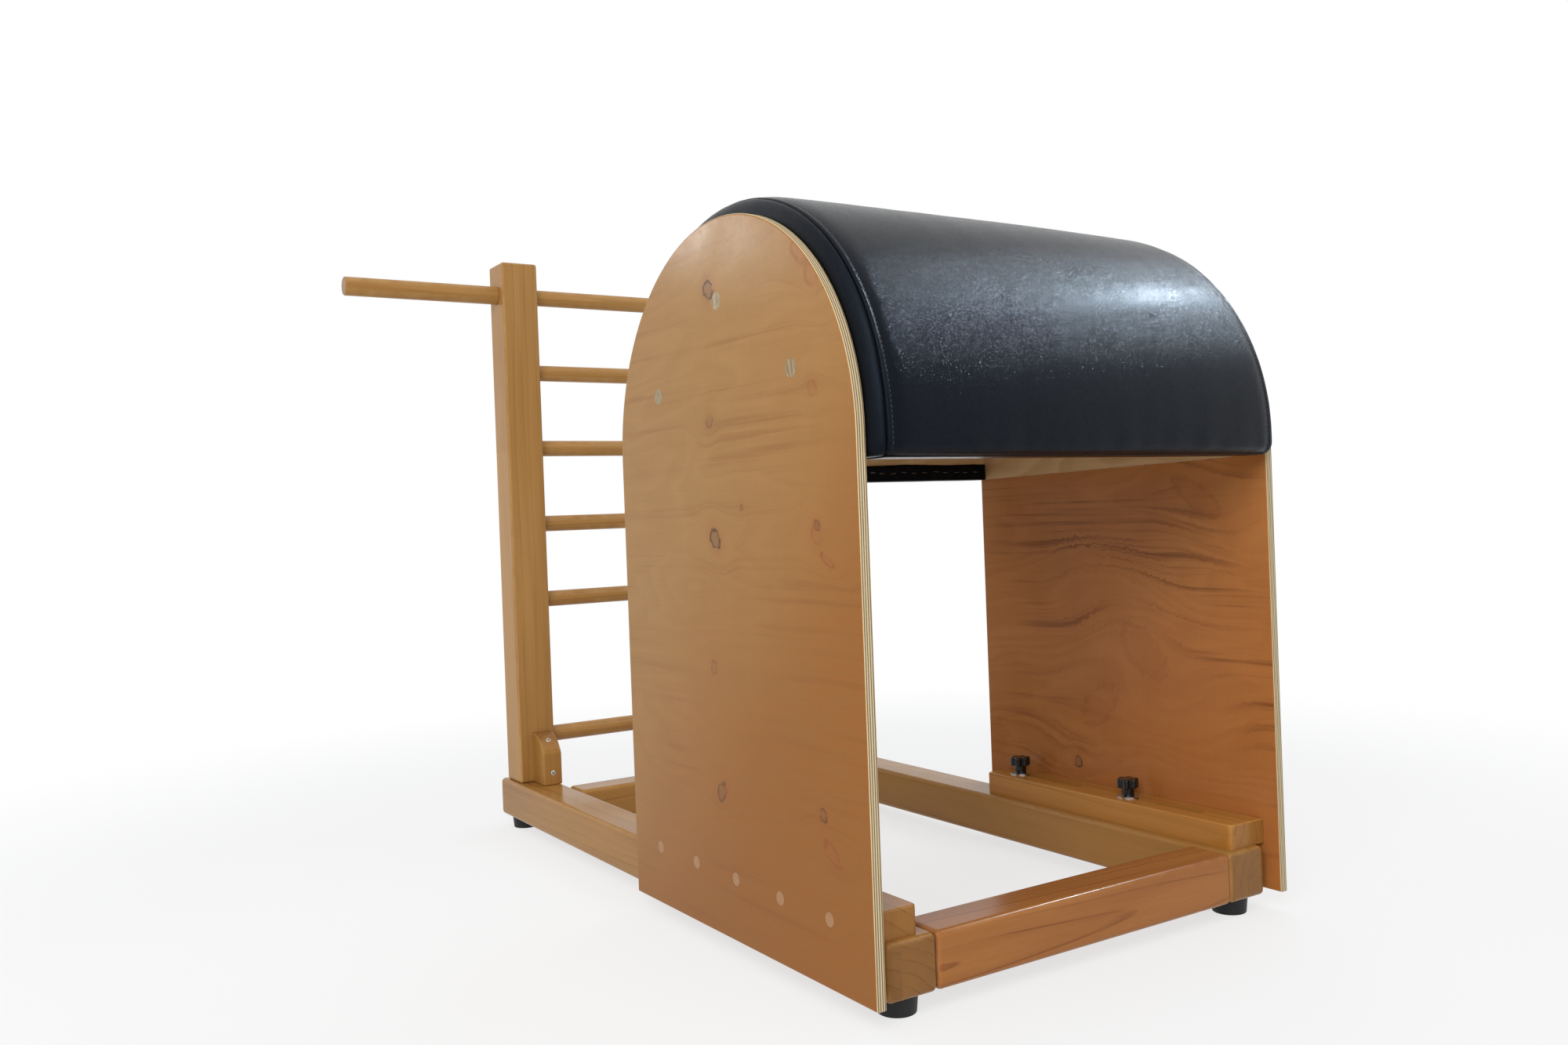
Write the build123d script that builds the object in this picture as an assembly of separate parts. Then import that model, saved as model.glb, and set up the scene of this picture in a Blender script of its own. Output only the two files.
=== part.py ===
from build123d import *
import math
import os

# Ladder barrel: a floor frame carries a ladder at its rear end and a padded half barrel that
# slides on the side rails. Millimetres, +Z up, +X from the ladder to the barrel, the near side
# is -Y. The origin is on the floor, below the middle of the overall box.

# Floor frame
frame_width = 700.0  # over the outer faces of the side rails
rail_length = 1310.0
rail_width = 76.0
rail_height = 73.0
rail_round = 8.0
front_rail_depth = 72.0
rear_rail_depth = 66.0
rear_rail_setback = 173.0  # from the rear ends of the side rails
tenon_length = 24.0
tenon_height = 44.0
tenon_thickness = 28.0
glue_gap = 0.1

# Rubber feet, each held by one screw and washer in a cup from below
foot_height = 25.0
foot_top_radius = 27.0
foot_floor_radius = 24.5
foot_floor_round = 1.5
foot_inset = 36.0
foot_cup_radius = 12.0
foot_cup_depth = 14.0
foot_washer_radius = 9.0
foot_washer_thickness = 1.6
foot_screw_length = 38.0

# Wood screws
screw_radius = 2.25
screw_head_radius = 4.5
screw_head_height = 3.5
screw_head_rim = 1.05
screw_gap = 0.1

# Ladder
post_size = 74.0
post_round = 5.0
post_setback = 18.0  # from the rear ends of the side rails
post_inset = 9.0  # from the outer faces of the side rails
post_above_top_rung = 62.0
post_tenon_size = 40.0
post_tenon_length = 45.0
rung_radius = 16.0
rung_seat = 28.0
rung_end_gap = 0.5
top_rung_height = 1080.0
rung_pitch = 154.5
close_rungs = 5
low_rung_height = 185.0
handle_radius = 18.0
handle_reach = 300.0  # from the outer face of the post
handle_end_round = 3.0
handle_seat = 30.0
handle_tenon_radius = 14.0
handle_shoulder_bevel = 1.0

# Blocks that brace the posts on the side rails
block_width = 38.0
block_depth = 56.0
block_height = 100.0
block_shoulder = 62.0
block_top_flat = 8.0
block_bulge = 8.0
block_from_post_edge = 27.0  # post's outer face to the block
block_round = 3.0
block_screw_length = 75.0
low_block_screw_height = 24.0

# Side panels of the barrel
panel_thickness = 15.0
panel_gap = 15.0  # side rail to panel
panel_width = 630.0
panel_overhang = 16.0  # past the front ends of the side rails
panel_bottom = 29.0
arch_height = 709.0
panel_edge_round = 2.5

# Slotted battens that carry the panels on the rails
batten_length = 535.0
batten_width = 72.0
batten_height = 36.0
batten_front_inset = 27.0  # from the front edge of the panels
batten_corner_round = 10.0
batten_edge_round = 3.0
slot_width = 11.0
slide_travel = 145.0

# Screws and plugs through the panels into the battens
low_screw_grip = 20.0  # of the screw in the batten
low_plug_count = 5
low_plug_pitch = 113.0
low_plug_front_inset = 92.0
low_plug_radius = 9.0
plug_thickness = 4.0

# Cross bars between the cheeks, with connector bolts and cross dowels
bar_circle_inset = 80.0  # from the inside of the shell to the middle of the bars
bar_spread_angle = 64.0  # either side of the top bar
bar_width = 60.0
bar_height = 40.0
bolt_radius = 4.0
bolt_bore_gap = 0.25
bolt_length = 95.0
bolt_head_radius = 8.5
bolt_head_height = 3.5
bolt_bore_depth = 76.0
high_plug_radius = 12.0
dowel_radius = 7.0
dowel_length = 30.0
dowel_end_distance = 50.0
dowel_thread_gap = 0.05

# Cheeks, bent shell and padding
cheek_thickness = 18.0
shell_inset = 33.0  # from the rim of the side panels to the inside of the shell
shell_thickness = 12.0
front_drop = 31.0  # straight stretch below the centre of the arch
rear_drop = 41.0
seat_gap = 0.3
end_gap = 0.5
shell_screws_per_cheek = 6
shell_screw_length = 26.0
pad_thickness = 50.0  # at its crown
pad_crown = 3.0
pad_wall_height = 24.0
pad_border = 14.0
pad_bulge_inset = 4.7  # of the border's fullest point, from the end
pad_bulge_lift = 1.6
pad_seam_width = 3.0
pad_seam_depth = 1.6
cover_thickness = 1.2
cover_turn_up = 30.0
cover_under = 58.0

# Star knobs, studs and washers that clamp the battens
knob_front_inset = 242.0  # from the front ends of the side rails
knob_spacing = 253.0
knob_lobes = 6
knob_lobe_radius = 5.5
knob_head_radius = 17.5
knob_core_radius = 13.0
knob_head_height = 15.0
knob_valley_round = 2.0
knob_edge_round = 2.0
knob_lower_bevel = 1.0
knob_neck_radius = 10.0
knob_neck_height = 13.0
stud_radius = 4.0
stud_depth = 28.0  # below the top of the rail
stud_in_head = 9.0
knob_washer_radius = 18.0
knob_washer_thickness = 2.0
knob_washer_gap = 0.2
insert_radius = 6.0
insert_length = 20.0
insert_thread_gap = 0.05
insert_hole_depth = 34.0

# Planes, radii and angles that the pieces share
shell_radius = panel_width / 2 - shell_inset
pad_radius = shell_radius + shell_thickness + pad_thickness
pad_wall_top = shell_radius + shell_thickness + pad_wall_height
bar_circle_radius = shell_radius - bar_circle_inset
bar_angles = {"front": 90 - bar_spread_angle, "top": 90, "rear": 90 + bar_spread_angle}
post_top = top_rung_height + post_above_top_rung
overall_front_reach = pad_radius + panel_overhang - panel_width / 2
rail_front_x = (rail_length - overall_front_reach) / 2
rail_rear_x = rail_front_x - rail_length
rail_top = foot_height + rail_height
rail_outer_y = -frame_width / 2
rail_inner_y = rail_outer_y + rail_width
rail_mid_y = rail_outer_y + rail_width / 2
post_rear_x = rail_rear_x + post_setback
post_front_x = post_rear_x + post_size
post_mid_x = post_rear_x + post_size / 2
post_outer_y = rail_outer_y + post_inset
post_inner_y = post_outer_y + post_size
panel_inner_y = rail_outer_y - panel_gap
panel_outer_y = panel_inner_y - panel_thickness
panel_front_x = rail_front_x + panel_overhang
arch_x = panel_front_x - panel_width / 2
front_foot = arch_height - front_drop
rear_foot = arch_height - rear_drop
batten_front_x = panel_front_x - batten_front_inset
batten_rear_x = batten_front_x - batten_length
batten_inner_y = panel_inner_y + batten_width
batten_mid_y = panel_inner_y + batten_width / 2
batten_top = rail_top + batten_height
batten_mid_z = rail_top + batten_height / 2
cheek_inner_y = panel_inner_y + cheek_thickness
knob_x = {
    "front": rail_front_x - knob_front_inset,
    "rear": rail_front_x - knob_front_inset - knob_spacing,
}
knob_base = batten_top + knob_washer_thickness
knob_head_base = knob_base + knob_neck_height
stud_bottom = rail_top - stud_depth
stud_top = knob_head_base + stud_in_head

UP = (0, 0, 1)
DOWN = (0, 0, -1)
INWARD = (0, 1, 0)
OUTWARD = (0, -1, 0)


def board(x_range, y_range, z_range, radius=0.0):
    """A squared length of timber with its edges rounded over."""
    size = [high - low for low, high in (x_range, y_range, z_range)]
    low_corner = (x_range[0], y_range[0], z_range[0])
    blank = Pos(*low_corner) * Box(*size, align=(Align.MIN, Align.MIN, Align.MIN))
    if radius == 0:
        return blank
    return fillet(blank.edges(), radius)


def rod(start, direction, radius, length):
    """A round bar from its start point along a direction."""
    return Plane(origin=start, z_dir=direction) * Cylinder(
        radius, length, align=(Align.CENTER, Align.CENTER, Align.MIN)
    )


def screw(seat, direction, length, gap=0.0):
    """A wood screw: flat head, plain shank and drawn point. A gap makes its hole."""
    profile = Polyline(
        (0, -gap),
        (screw_head_radius + gap, -gap),
        (screw_head_radius + gap, screw_head_rim),
        (screw_radius + gap, screw_head_height + gap),
        (screw_radius + gap, length - 2 * screw_radius + gap),
        (0, length + gap),
        close=True,
    )
    turned = revolve(Plane.XZ * make_face(profile), Axis.Z)
    return Plane(origin=seat, z_dir=direction) * turned


def far(shape):
    """The same piece on the far side."""
    return mirror(shape, about=Plane.XZ)


def group(solids):
    """Separate solids that share one node."""
    return Compound([part.solid() for part in solids])


def both_sides(near_solids):
    """Near solids and their copies on the far side, as one group."""
    return group(near_solids + [far(part) for part in near_solids])


# Feet


def foot_x(end):
    """Centre of the foot at the front or rear end of a rail."""
    if end == "front":
        return rail_front_x - foot_inset
    return rail_rear_x + foot_inset


def foot_screw(end, gap=0.0):
    seat = (foot_x(end), rail_mid_y, foot_cup_depth - foot_washer_thickness - screw_head_height)
    return screw(seat, UP, foot_screw_length, gap)


def foot(end):
    centre = (foot_x(end), rail_mid_y)
    body = Pos(*centre, foot_height / 2) * Cone(foot_floor_radius, foot_top_radius, foot_height)
    cup = rod((*centre, 0), UP, foot_cup_radius, foot_cup_depth)
    body = fillet(body.edges().group_by(Axis.Z)[0], foot_floor_round)
    return body - cup - foot_screw(end, screw_gap)


def foot_washer(end):
    base = (foot_x(end), rail_mid_y, foot_cup_depth - foot_washer_thickness)
    disc = rod(base, UP, foot_washer_radius, foot_washer_thickness)
    return disc - foot_screw(end, screw_gap)


# Floor frame


def side_rail():
    rail = board(
        (rail_rear_x, rail_front_x), (rail_outer_y, rail_inner_y), (foot_height, rail_top), rail_round
    )
    for end in ("front", "rear"):
        rail -= foot_screw(end, screw_gap)
    for x in knob_x.values():
        rail -= rod((x, batten_mid_y, rail_top), DOWN, insert_radius + glue_gap, insert_hole_depth)
    rail -= cross_tenon(front_rail_x(), glue_gap)
    rail -= cross_tenon(rear_rail_x(), glue_gap)
    rail -= post_tenon(glue_gap)
    return rail - block_screws(screw_gap)[1]


def front_rail_x():
    return (rail_front_x - front_rail_depth, rail_front_x)


def rear_rail_x():
    start = rail_rear_x + rear_rail_setback
    return (start, start + rear_rail_depth)


def cross_tenon(x_range, gap=0.0):
    """The near tenon of a cross rail. A gap makes its mortise."""
    mid_x = sum(x_range) / 2
    mid_z = (foot_height + rail_top) / 2
    half_x = tenon_thickness / 2 + gap
    half_z = tenon_height / 2 + gap
    return board(
        (mid_x - half_x, mid_x + half_x),
        (rail_inner_y - tenon_length - gap, rail_inner_y),
        (mid_z - half_z, mid_z + half_z),
    )


def cross_rail(x_range):
    rail = board(x_range, (rail_inner_y, -rail_inner_y), (foot_height, rail_top), rail_round)
    tenon = cross_tenon(x_range)
    return rail + tenon + far(tenon)


# Ladder


def post_tenon(gap=0.0):
    half = post_tenon_size / 2 + gap
    return board(
        (post_mid_x - half, post_mid_x + half),
        (rail_mid_y - half, rail_mid_y + half),
        (rail_top - post_tenon_length - gap, rail_top),
    )


def rung_heights():
    close = [top_rung_height - rung_pitch * step for step in range(close_rungs)]
    return [low_rung_height] + close[::-1]


def rung(height):
    half = -post_inner_y + rung_seat - rung_end_gap
    return rod((post_mid_x, -half, height), INWARD, rung_radius, 2 * half)


def handle():
    shoulder = (post_mid_x, post_outer_y, top_rung_height)
    bar = rod(shoulder, OUTWARD, handle_radius, handle_reach)
    bar = fillet(bar.edges().group_by(Axis.Y)[0], handle_end_round)
    bar = chamfer(bar.edges().group_by(Axis.Y)[-1], handle_shoulder_bevel)
    return bar + rod(shoulder, INWARD, handle_tenon_radius, handle_seat - rung_end_gap)


def ladder_post():
    post = board(
        (post_rear_x, post_front_x), (post_outer_y, post_inner_y), (rail_top, post_top), post_round
    )
    post += post_tenon()
    for height in rung_heights():
        start = (post_mid_x, post_inner_y, height)
        post -= rod(start, OUTWARD, rung_radius + glue_gap, rung_seat)
    start = (post_mid_x, post_outer_y, top_rung_height)
    post -= rod(start, INWARD, handle_tenon_radius + glue_gap, handle_seat)
    for hole in block_screws(screw_gap):
        post -= hole
    return post


# Blocks that brace the posts


def block_range():
    start = post_outer_y + block_from_post_edge
    return (start, start + block_width)


def block_slope_ends():
    """Upper and lower end of the block's rounded shoulder, as X and Z."""
    upper = (post_front_x + block_top_flat, rail_top + block_height)
    lower = (post_front_x + block_depth, rail_top + block_shoulder)
    return upper, lower


def post_block():
    y_range = block_range()
    upper, lower = block_slope_ends()
    run = (lower[0] - upper[0], lower[1] - upper[1])
    span = math.hypot(*run)
    bulge = (
        (upper[0] + lower[0]) / 2 - block_bulge * run[1] / span,
        (upper[1] + lower[1]) / 2 + block_bulge * run[0] / span,
    )
    outline = [
        Line(lower, (lower[0], rail_top)),
        Line((lower[0], rail_top), (post_front_x, rail_top)),
        Line((post_front_x, rail_top), (post_front_x, upper[1])),
        Line((post_front_x, upper[1]), upper),
        ThreePointArc(upper, bulge, lower),
    ]
    face = Plane.XZ.offset(-y_range[1]) * make_face(Curve() + outline)
    block = extrude(face, block_width)
    visible = [
        edge for edge in block.edges() if edge.center().X > post_front_x + block_round
    ]
    block = fillet(visible, block_round)
    for hole in block_screws(screw_gap):
        block -= hole
    return block


def block_screws(gap=0.0):
    """The upper screw, across the shoulder, and the lower one, level into the post."""
    mid_y = sum(block_range()) / 2
    upper, lower = block_slope_ends()
    run = (lower[0] - upper[0], lower[1] - upper[1])
    span = math.hypot(*run)
    outward = (-run[1] / span, run[0] / span)
    sunk = block_bulge - screw_head_rim
    seat = (
        (upper[0] + lower[0]) / 2 + outward[0] * sunk,
        mid_y,
        (upper[1] + lower[1]) / 2 + outward[1] * sunk,
    )
    low_seat = (lower[0], mid_y, rail_top + low_block_screw_height)
    shoulder_screw = screw(seat, (-outward[0], 0, -outward[1]), block_screw_length, gap)
    level_screw = screw(low_seat, (-1, 0, 0), block_screw_length, gap)
    return [shoulder_screw, level_screw]


# Threaded inserts in the rails


def threaded_insert(x):
    top = (x, batten_mid_y, rail_top)
    sleeve = rod(top, DOWN, insert_radius, insert_length)
    return sleeve - rod(top, DOWN, stud_radius + insert_thread_gap, insert_length)


# Side panels and battens


def low_plug_x():
    first = panel_front_x - low_plug_front_inset
    return [first - low_plug_pitch * step for step in range(low_plug_count)]


def bar_centre(name):
    angle = math.radians(bar_angles[name])
    return (
        arch_x + bar_circle_radius * math.cos(angle),
        arch_height + bar_circle_radius * math.sin(angle),
    )


def arch_outline(radius, rear_bottom, front_bottom):
    """A half round on straight legs, as a face over the arch centre."""
    rear_x = arch_x - radius
    front_x = arch_x + radius
    outline = [
        Line((rear_x, rear_bottom), (front_x, front_bottom)),
        Line((front_x, front_bottom), (front_x, arch_height)),
        CenterArc((arch_x, arch_height), radius, 0, 180),
        Line((rear_x, arch_height), (rear_x, rear_bottom)),
    ]
    return make_face(Curve() + outline)


def plug_hole(x, z, radius, head_height):
    depth = plug_thickness + head_height
    return rod((x, panel_outer_y, z), INWARD, radius + glue_gap, depth)


def side_panel():
    face = Plane.XZ.offset(-panel_inner_y) * arch_outline(panel_width / 2, panel_bottom, panel_bottom)
    panel = extrude(face, panel_thickness)
    faces = panel.edges().group_by(Axis.Y)
    panel = fillet(faces[0] + faces[-1], panel_edge_round)
    for x in low_plug_x():
        panel -= plug_hole(x, batten_mid_z, low_plug_radius, screw_head_height)
        panel -= batten_screw(x, screw_gap)
    for name in bar_angles:
        x, z = bar_centre(name)
        panel -= plug_hole(x, z, high_plug_radius, bolt_head_height)
        panel -= bolt_bore(name)
    return panel


def batten_screw(x, gap=0.0):
    seat = (x, panel_outer_y + plug_thickness, batten_mid_z)
    return screw(seat, INWARD, panel_thickness - plug_thickness + low_screw_grip, gap)


def plug(x, z, radius):
    return rod((x, panel_outer_y, z), INWARD, radius, plug_thickness)


def slide_batten():
    batten = board(
        (batten_rear_x, batten_front_x),
        (panel_inner_y, batten_inner_y),
        (rail_top, batten_top),
    )
    corners = batten.edges().filter_by(Axis.Z).group_by(Axis.Y)[-1]
    batten = fillet(corners, batten_corner_round)
    top_edges = batten.edges().group_by(Axis.Z)[-1]
    batten = fillet(top_edges, batten_edge_round)
    for x in knob_x.values():
        middle = Pos(x + slide_travel / 2, batten_mid_y, rail_top)
        batten -= extrude(middle * SlotCenterToCenter(slide_travel, slot_width), batten_height)
    for x in low_plug_x():
        batten -= batten_screw(x, screw_gap)
    return batten


# Cross bars, bolts and cross dowels


def bolt_bore(name):
    x, z = bar_centre(name)
    start = (x, panel_outer_y + plug_thickness, z)
    depth = -panel_outer_y - plug_thickness + cheek_inner_y + bolt_bore_depth
    return rod(start, INWARD, bolt_radius + bolt_bore_gap, depth)


def bar_bolt(name):
    x, z = bar_centre(name)
    start = (x, panel_outer_y + plug_thickness, z)
    head = rod(start, INWARD, bolt_head_radius, bolt_head_height)
    return head + rod(start, INWARD, bolt_radius, bolt_head_height + bolt_length)


def dowel_centre(name):
    x, z = bar_centre(name)
    return (x, cheek_inner_y + dowel_end_distance, z)


def barrel_nut(name):
    x, y, z = dowel_centre(name)
    body = rod((x, y, z - dowel_length / 2), UP, dowel_radius, dowel_length)
    thread = rod((x, y - dowel_radius, z), INWARD, bolt_radius + dowel_thread_gap, 2 * dowel_radius)
    return body - thread


def cross_bar(name):
    x, z = bar_centre(name)
    bar = board(
        (x - bar_width / 2, x + bar_width / 2),
        (cheek_inner_y, -cheek_inner_y),
        (z - bar_height / 2, z + bar_height / 2),
    )
    bore = bolt_bore(name)
    x, y, z = dowel_centre(name)
    pocket_length = (bar_height + dowel_length) / 2 + glue_gap
    pocket = rod((x, y, z - bar_height / 2), UP, dowel_radius + glue_gap, pocket_length)
    for hole in (bore, far(bore), pocket, far(pocket)):
        bar -= hole
    return bar


# Cheeks and bent shell


def cheek():
    outline = arch_outline(shell_radius - seat_gap, rear_foot, front_foot)
    plate = extrude(Plane.XZ.offset(-cheek_inner_y) * outline, cheek_thickness)
    for name in bar_angles:
        plate -= bolt_bore(name)
    for hole in shell_screws(screw_gap):
        plate -= hole
    return plate


def shell_screws(gap=0.0):
    """Screws through the shell into the rim of the near cheek, heads under the padding."""
    mid_y = (panel_inner_y + cheek_inner_y) / 2
    pieces = []
    for step in range(shell_screws_per_cheek):
        angle = math.pi * (step + 0.5) / shell_screws_per_cheek
        out = (math.cos(angle), 0, math.sin(angle))
        reach = shell_radius + shell_thickness
        seat = (arch_x + reach * out[0], mid_y, arch_height + reach * out[2])
        inward = (-out[0], 0, -out[2])
        pieces.append(screw(seat, inward, shell_screw_length, gap))
    return pieces


def arch_sweep(section):
    """Carries a section, drawn as radius and Y, round the arch and down both legs."""
    base = Pos(arch_x, 0, arch_height) * section
    axis = Axis((arch_x, 0, arch_height), OUTWARD)
    turned = revolve(base, axis, 180)
    front_leg = extrude(base, front_drop, dir=DOWN)
    rear_leg = mirror(extrude(base, rear_drop, dir=DOWN), about=Plane.YZ.offset(arch_x))
    return turned + front_leg + rear_leg


def barrel_shell():
    half = -panel_inner_y - end_gap
    section = Pos(shell_radius + shell_thickness / 2, 0) * Rectangle(shell_thickness, 2 * half)
    shell = arch_sweep(section)
    for hole in shell_screws(screw_gap):
        shell -= hole
        shell -= far(hole)
    return shell


# Padding and the edges of its cover


def barrel_pad():
    inner = shell_radius + shell_thickness + seat_gap
    end_y = -panel_inner_y - end_gap
    border_y = end_y - pad_border
    seam_y = border_y - pad_seam_width
    shoulder = pad_radius - pad_crown
    wall_middle = ((pad_wall_top + shoulder) / 2 + pad_bulge_lift, end_y - pad_bulge_inset)
    edge = [
        Line((inner, end_y), (pad_wall_top, end_y)),
        ThreePointArc((pad_wall_top, end_y), wall_middle, (shoulder, border_y)),
        Line((shoulder, border_y), (shoulder - pad_seam_depth, border_y - pad_seam_width / 2)),
        Line((shoulder - pad_seam_depth, border_y - pad_seam_width / 2), (shoulder, seam_y)),
    ]
    crown = ThreePointArc((shoulder, seam_y), (pad_radius, 0), (shoulder, -seam_y))
    other_edge = [mirror(line, about=Plane.XZ) for line in edge]
    inside = Line((inner, -end_y), (inner, end_y))
    section = make_face(Curve() + edge + crown + other_edge + inside)
    return arch_sweep(section)


def cover_edge(foot):
    """An edge of the vinyl, turned under the front of the padding and up inside the shell."""
    half = -cheek_inner_y - end_gap
    inner = shell_radius - cover_thickness
    under = board(
        (arch_x + inner, arch_x + inner + cover_under),
        (-half, half),
        (foot - cover_thickness, foot),
    )
    upright = board(
        (arch_x + inner, arch_x + shell_radius),
        (-half, half),
        (foot - cover_thickness, foot + cover_turn_up),
    )
    return under + upright


# Star knobs with their studs and washers


def star_knob(x):
    head = Circle(knob_core_radius)
    for lobe in PolarLocations(knob_head_radius - knob_lobe_radius, knob_lobes):
        head += lobe * Circle(knob_lobe_radius)
    head = fillet(head.vertices(), knob_valley_round)
    block = extrude(Pos(x, batten_mid_y, knob_head_base) * head, knob_head_height)
    block = fillet(block.edges().group_by(Axis.Z)[-1], knob_edge_round)
    block = chamfer(block.edges().group_by(Axis.Z)[0], knob_lower_bevel)
    block += rod((x, batten_mid_y, knob_base), UP, knob_neck_radius, knob_neck_height)
    return block - knob_stud(x)


def knob_stud(x):
    start = (x, batten_mid_y, stud_bottom)
    return rod(start, UP, stud_radius, stud_top - stud_bottom)


def knob_washer(x):
    base = (x, batten_mid_y, batten_top)
    disc = rod(base, UP, knob_washer_radius, knob_washer_thickness)
    return disc - rod(base, UP, stud_radius + knob_washer_gap, knob_washer_thickness)


def make_pieces():
    ends = ("front", "rear")
    pieces = {
        "front_cross_rail": cross_rail(front_rail_x()),
        "rear_cross_rail": cross_rail(rear_rail_x()),
        "foot_screws": both_sides([foot_screw(end) for end in ends]),
        "foot_washers": both_sides([foot_washer(end) for end in ends]),
        "block_screws": both_sides(block_screws()),
        "threaded_inserts": both_sides([threaded_insert(x) for x in knob_x.values()]),
        "batten_screws": both_sides([batten_screw(x) for x in low_plug_x()]),
        "lower_plugs": both_sides([plug(x, batten_mid_z, low_plug_radius) for x in low_plug_x()]),
        "upper_plugs": both_sides([plug(*bar_centre(name), high_plug_radius) for name in bar_angles]),
        "bar_bolts": both_sides([bar_bolt(name) for name in bar_angles]),
        "barrel_nuts": both_sides([barrel_nut(name) for name in bar_angles]),
        "shell_screws": both_sides(shell_screws()),
        "barrel_shell": barrel_shell(),
        "barrel_pad": barrel_pad(),
        "cover_edge_front": cover_edge(front_foot),
        "cover_edge_rear": mirror(cover_edge(rear_foot), about=Plane.YZ.offset(arch_x)),
    }
    sided = {
        "side_rail": side_rail(),
        "ladder_post": ladder_post(),
        "handle": handle(),
        "post_block": post_block(),
        "side_panel": side_panel(),
        "slide_batten": slide_batten(),
        "cheek": cheek(),
    }
    for end in ends:
        sided[f"foot_{end}"] = foot(end)
        sided[f"knob_{end}"] = star_knob(knob_x[end])
        sided[f"stud_{end}"] = knob_stud(knob_x[end])
        sided[f"washer_{end}"] = knob_washer(knob_x[end])
    for name, near in sided.items():
        pieces[f"{name}_near"] = near
        pieces[f"{name}_far"] = far(near)
    for number, height in enumerate(rung_heights(), start=1):
        pieces[f"rung_{number}"] = rung(height)
    for name in bar_angles:
        pieces[f"cross_bar_{name}"] = cross_bar(name)
    return pieces


os.makedirs("parts", exist_ok=True)
for node, shape in make_pieces().items():
    export_step(shape, f"parts/{node}.step")
    print("wrote", node)
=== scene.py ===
import math
import random

import bmesh
import bpy
from mathutils import Euler, Matrix, Vector, noise


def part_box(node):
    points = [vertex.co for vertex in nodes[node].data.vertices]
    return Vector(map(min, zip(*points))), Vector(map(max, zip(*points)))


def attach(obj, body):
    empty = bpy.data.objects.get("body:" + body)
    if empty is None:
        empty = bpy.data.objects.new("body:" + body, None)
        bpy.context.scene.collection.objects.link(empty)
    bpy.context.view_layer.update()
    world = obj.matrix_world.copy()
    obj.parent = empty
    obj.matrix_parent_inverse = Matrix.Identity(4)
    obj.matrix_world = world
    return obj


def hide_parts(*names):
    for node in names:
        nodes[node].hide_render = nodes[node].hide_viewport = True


# The looks of a ladder barrel: wood finishes, the vinyl pad with its seams and stitching,
# the cover's stapled edges, the cross-head screws, and a plain white studio around it.
# Everything is in metres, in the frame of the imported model.

print("frame: loading the packed model")
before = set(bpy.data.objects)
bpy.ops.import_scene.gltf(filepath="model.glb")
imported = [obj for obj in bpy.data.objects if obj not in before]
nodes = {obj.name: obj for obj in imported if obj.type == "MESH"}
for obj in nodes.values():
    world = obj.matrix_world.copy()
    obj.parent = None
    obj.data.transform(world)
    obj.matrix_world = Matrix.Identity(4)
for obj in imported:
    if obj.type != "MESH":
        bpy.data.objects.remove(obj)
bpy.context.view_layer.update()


# Measures that several pieces share, read from the frame
coverGap = 0.0012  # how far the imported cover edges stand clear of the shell's foot and of its inner face
padGap = 0.0004  # between the shell and the pad
padLow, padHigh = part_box("barrel_pad")
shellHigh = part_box("barrel_shell")[1]
edgeLow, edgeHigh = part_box("cover_edge_front")
archX = (padLow.x + padHigh.x) / 2
padOuter = padHigh.x - archX
padInner = shellHigh.x - archX + padGap
padEnd = padHigh.y
archHeight = padHigh.z - padOuter
frontFoot = edgeLow.z + coverGap
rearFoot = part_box("cover_edge_rear")[0].z + coverGap
archLength = 2 * archHeight - frontFoot - rearFoot + math.pi * padOuter
shellInner = edgeLow.x - archX + coverGap


# Small helpers for node trees; current["tree"] is the one that nodes are added to
current, groups = {}, {}


def addNode(kind, **settings):
    node = current["tree"].nodes.new(kind)
    for name, value in settings.items():
        setattr(node, name, value)
    return node


def feed(socket, value):
    # a socket takes a link or a plain value
    if isinstance(value, bpy.types.NodeSocket):
        current["tree"].links.new(value, socket)
    else:
        socket.default_value = value


def feedAll(node, *values):
    for socket, value in zip(node.inputs, values):
        feed(socket, value)
    return node.outputs


def maths(operation, *values, clamp=False):
    return feedAll(addNode("ShaderNodeMath", operation=operation, use_clamp=clamp), *values)[0]


def plus(first, *others, clamp=False):
    for other in others:
        first = maths("ADD", first, other, clamp=clamp)
    return first


def twoValued(operation):
    return lambda first, second, clamp=False: maths(operation, first, second, clamp=clamp)


minus, times, divide, larger = (twoValued(name) for name in ("SUBTRACT", "MULTIPLY", "DIVIDE", "MAXIMUM"))


def vectorMaths(operation, *vectors):
    outputs = feedAll(addNode("ShaderNodeVectorMath", operation=operation), *vectors)
    return outputs["Value" if operation == "LENGTH" else "Vector"]


def splitUp(vector):
    return feedAll(addNode("ShaderNodeSeparateXYZ"), vector)


def putTogether(x, y, z):
    return feedAll(addNode("ShaderNodeCombineXYZ"), x, y, z)[0]


def randomBy(value):
    node = addNode("ShaderNodeTexWhiteNoise", noise_dimensions="1D")
    feed(node.inputs["W"], value)
    return node.outputs["Value"]


def noiseAt(vector, scale, detail=2.0, roughness=0.5):
    node = addNode("ShaderNodeTexNoise")
    feed(node.inputs["Vector"], vector)
    feed(node.inputs["Scale"], scale)
    node.inputs["Detail"].default_value = detail
    node.inputs["Roughness"].default_value = roughness
    return node.outputs[0]


def stretchedNoise(vector, stretch, detail=2.0, roughness=0.5):
    return noiseAt(vectorMaths("MULTIPLY", vector, stretch), 1.0, detail, roughness)


def smoothStep(value, start, end):
    # from 0 at start to 1 at end; start may be the higher one
    return feedAll(addNode("ShaderNodeMapRange", interpolation_type="SMOOTHSTEP"), value, start, end)[0]


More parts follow.
